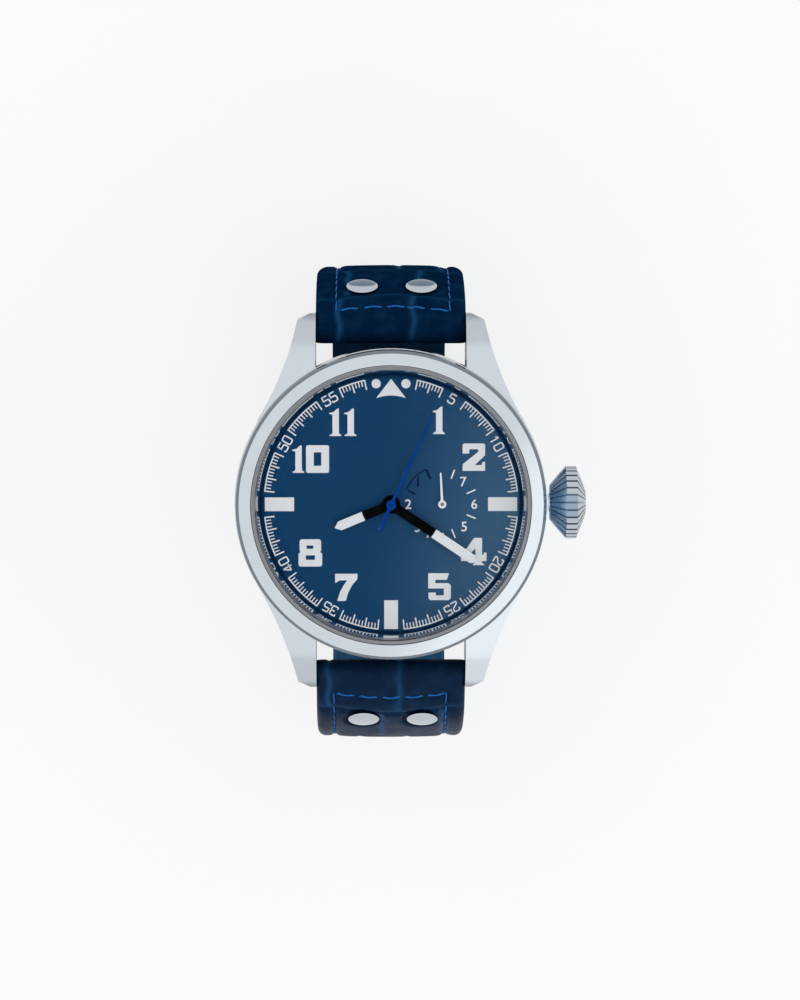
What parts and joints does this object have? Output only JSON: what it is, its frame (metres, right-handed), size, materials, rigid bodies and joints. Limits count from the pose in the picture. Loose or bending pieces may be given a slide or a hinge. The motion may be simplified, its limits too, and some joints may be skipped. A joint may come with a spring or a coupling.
{
  "type": "wristwatch",
  "caption": "Analog pilot wristwatch with a round steel case, blue dial and small dial, fluted crown, and a riveted leather strap closed on its buckle.",
  "frame": {"origin": "centre of the case back's outer face", "axes": "+Z out of the dial, +Y to 12 o'clock, +X along the crown"},
  "size_m": [0.0519, 0.0728, 0.0561],
  "materials": {
    "case_steel": "satin",
    "polished_steel": "polished",
    "sapphire": "clear",
    "seal_rubber": "matte",
    "white_gasket": "matte",
    "rehaut_metal": "satin",
    "dial_blue": "sunray",
    "dial_white": "matte",
    "hand_white": "satin",
    "hand_blue": "gloss",
    "hand_silver": "satin",
    "movement_plastic": "matte",
    "movement_brass": "satin",
    "wheel_brass": "satin",
    "pivot_steel": "polished",
    "soft_iron": "satin",
    "magnet": "matte",
    "copper_wire": "lacquered",
    "board_green": "matte",
    "battery_steel": "satin",
    "strap_leather": "embossed satin",
    "lining_leather": "soft matte",
    "padding_foam": "felt",
    "thread_blue": "waxed",
    "buckle_steel": "polished"
  },
  "bodies": {
    "watch": {"case_middle": "case_steel", "bezel": "polished_steel", "crystal": "sapphire", "crystal_gasket": "white_gasket", "rehaut": "rehaut_metal", "case_back": "case_steel", "case_back_gasket": "seal_rubber", "crown_tube": "polished_steel", "movement_ring": "movement_plastic", "dial": "dial_blue", "hour_markers": "dial_white", "hour_numerals": "dial_white", "main_plate": "movement_brass", "train_bridge": "movement_brass", "circuit_board": "board_green", "quartz_can": "battery_steel", "coil_core": "soft_iron", "coil_winding": "copper_wire", "stator": "soft_iron", "battery": "battery_steel", "battery_clip": "wheel_brass", "bridge_screws": "pivot_steel", "strap_leather_12": "strap_leather", "strap_lining_12": "lining_leather", "strap_padding_12": "padding_foam", "strap_leather_6": "strap_leather", "strap_lining_6": "lining_leather", "strap_padding_6": "padding_foam", "stitching": "thread_blue", "rivets": "polished_steel", "spring_bar_tubes": "pivot_steel", "spring_bar_springs": "pivot_steel", "fixed_keeper": "strap_leather"},
    "minute": {"cannon_pinion": "pivot_steel", "minute_hand": "hand_white"},
    "minute_wheel": {"minute_wheel": "wheel_brass"},
    "hour": {"hour_wheel": "wheel_brass", "hour_hand": "hand_white"},
    "day_idler": {"day_idler": "wheel_brass"},
    "day": {"day_wheel": "wheel_brass", "subdial_hand": "hand_silver"},
    "seconds": {"seconds_wheel": "wheel_brass", "seconds_hand": "hand_blue"},
    "third": {"third_wheel": "wheel_brass"},
    "centre": {"centre_wheel": "wheel_brass"},
    "intermediate": {"intermediate_wheel": "wheel_brass"},
    "rotor": {"rotor": "magnet"},
    "crown_seal": {"crown_gasket": "seal_rubber"},
    "crown": {"crown": "polished_steel", "stem": "pivot_steel"},
    "setting_lever": {"setting_lever": "pivot_steel"},
    "tip_12_left": {"spring_bar_tip_12_left": "pivot_steel"},
    "tip_12_right": {"spring_bar_tip_12_right": "pivot_steel"},
    "tip_6_left": {"spring_bar_tip_6_left": "pivot_steel"},
    "tip_6_right": {"spring_bar_tip_6_right": "pivot_steel"},
    "buckle": {"buckle_frame": "buckle_steel", "buckle_bar": "buckle_steel"},
    "tang": {"buckle_tang": "buckle_steel"},
    "free_keeper": {"free_keeper": "strap_leather"}
  },
  "joints": [
    {"name": "minute_hand_turn", "type": "hinge", "parent": "watch", "child": "minute", "pos_m": [0, 0, 0.007], "axis": [0, 0, -1], "continuous": true},
    {"name": "minute_wheel_turn", "type": "hinge", "parent": "watch", "child": "minute_wheel", "pos_m": [-0.0018, -0.00312, 0.007], "axis": [0, 0, -1], "continuous": true},
    {"name": "hour_hand_turn", "type": "hinge", "parent": "watch", "child": "hour", "pos_m": [0, 0, 0.007], "axis": [0, 0, -1], "continuous": true},
    {"name": "day_idler_turn", "type": "hinge", "parent": "watch", "child": "day_idler", "pos_m": [0.00317, 0.00043, 0.007], "axis": [0, 0, -1], "continuous": true},
    {"name": "subdial_hand_turn", "type": "hinge", "parent": "watch", "child": "day", "pos_m": [0.00755, 0, 0.007], "axis": [0, 0, -1], "continuous": true},
    {"name": "seconds_hand_turn", "type": "hinge", "parent": "watch", "child": "seconds", "pos_m": [0, 0, 0.007], "axis": [0, 0, -1], "continuous": true},
    {"name": "third_wheel_turn", "type": "hinge", "parent": "watch", "child": "third", "pos_m": [-0.0014, -0.00383, 0.007], "axis": [0, 0, -1], "continuous": true},
    {"name": "centre_wheel_turn", "type": "hinge", "parent": "watch", "child": "centre", "pos_m": [0, 0, 0.007], "axis": [0, 0, -1], "continuous": true},
    {"name": "intermediate_wheel_turn", "type": "hinge", "parent": "watch", "child": "intermediate", "pos_m": [-0.00221, 0.00185, 0.007], "axis": [0, 0, -1], "continuous": true},
    {"name": "rotor_turn", "type": "hinge", "parent": "watch", "child": "rotor", "pos_m": [-0.00381, 0.0032, 0.007], "axis": [0, 0, -1], "continuous": true},
    {"name": "crown_pull", "type": "slide", "parent": "watch", "child": "crown_seal", "axis": [1, 0, 0], "range_m": [0, 0.0015]},
    {"name": "crown_turn", "type": "hinge", "parent": "crown_seal", "child": "crown", "pos_m": [0.0235, 0, 0.0079], "axis": [1, 0, 0], "continuous": true},
    {"name": "setting_lever_swing", "type": "hinge", "parent": "watch", "child": "setting_lever", "pos_m": [0.0112, -0.0031, 0.0072], "axis": [0, 0, -1], "range_deg": [0, 28.5]},
    {"name": "tip_12_left_push", "type": "slide", "parent": "watch", "child": "tip_12_left", "axis": [1, 0, 0], "range_m": [0, 0.0009], "stiffness_N_per_m": 400},
    {"name": "tip_12_right_push", "type": "slide", "parent": "watch", "child": "tip_12_right", "axis": [-1, 0, 0], "range_m": [0, 0.0009], "stiffness_N_per_m": 400},
    {"name": "tip_6_left_push", "type": "slide", "parent": "watch", "child": "tip_6_left", "axis": [1, 0, 0], "range_m": [0, 0.0009], "stiffness_N_per_m": 400},
    {"name": "tip_6_right_push", "type": "slide", "parent": "watch", "child": "tip_6_right", "axis": [-1, 0, 0], "range_m": [0, 0.0009], "stiffness_N_per_m": 400},
    {"name": "buckle_frame_swing", "type": "hinge", "parent": "watch", "child": "buckle", "pos_m": [0, 0.001, -0.0375], "axis": [1, 0, 0], "range_deg": [0, 3]},
    {"name": "tang_swing", "type": "hinge", "parent": "buckle", "child": "tang", "pos_m": [0, 0.001, -0.0375], "axis": [1, 0, 0], "range_deg": [0, 3]},
    {"name": "free_keeper_slide", "type": "hinge", "parent": "watch", "child": "free_keeper", "pos_m": [0, 0.01334, -0.02085], "axis": [1, 0, 0], "range_deg": [-0.5, 30]}
  ],
  "couplings": [
    {"joint": "minute_wheel_turn", "follows": "minute_hand_turn", "ratio": -0.33333},
    {"joint": "hour_hand_turn", "follows": "minute_hand_turn", "ratio": 0.083333},
    {"joint": "day_idler_turn", "follows": "minute_hand_turn", "ratio": -0.05},
    {"joint": "subdial_hand_turn", "follows": "minute_hand_turn", "ratio": 0.041667},
    {"joint": "third_wheel_turn", "follows": "seconds_hand_turn", "ratio": -0.13333},
    {"joint": "centre_wheel_turn", "follows": "seconds_hand_turn", "ratio": 0.016667},
    {"joint": "intermediate_wheel_turn", "follows": "seconds_hand_turn", "ratio": -5},
    {"joint": "rotor_turn", "follows": "seconds_hand_turn", "ratio": 30},
    {"joint": "setting_lever_swing", "follows": "crown_pull", "rad_per_m": 330}
  ]
}
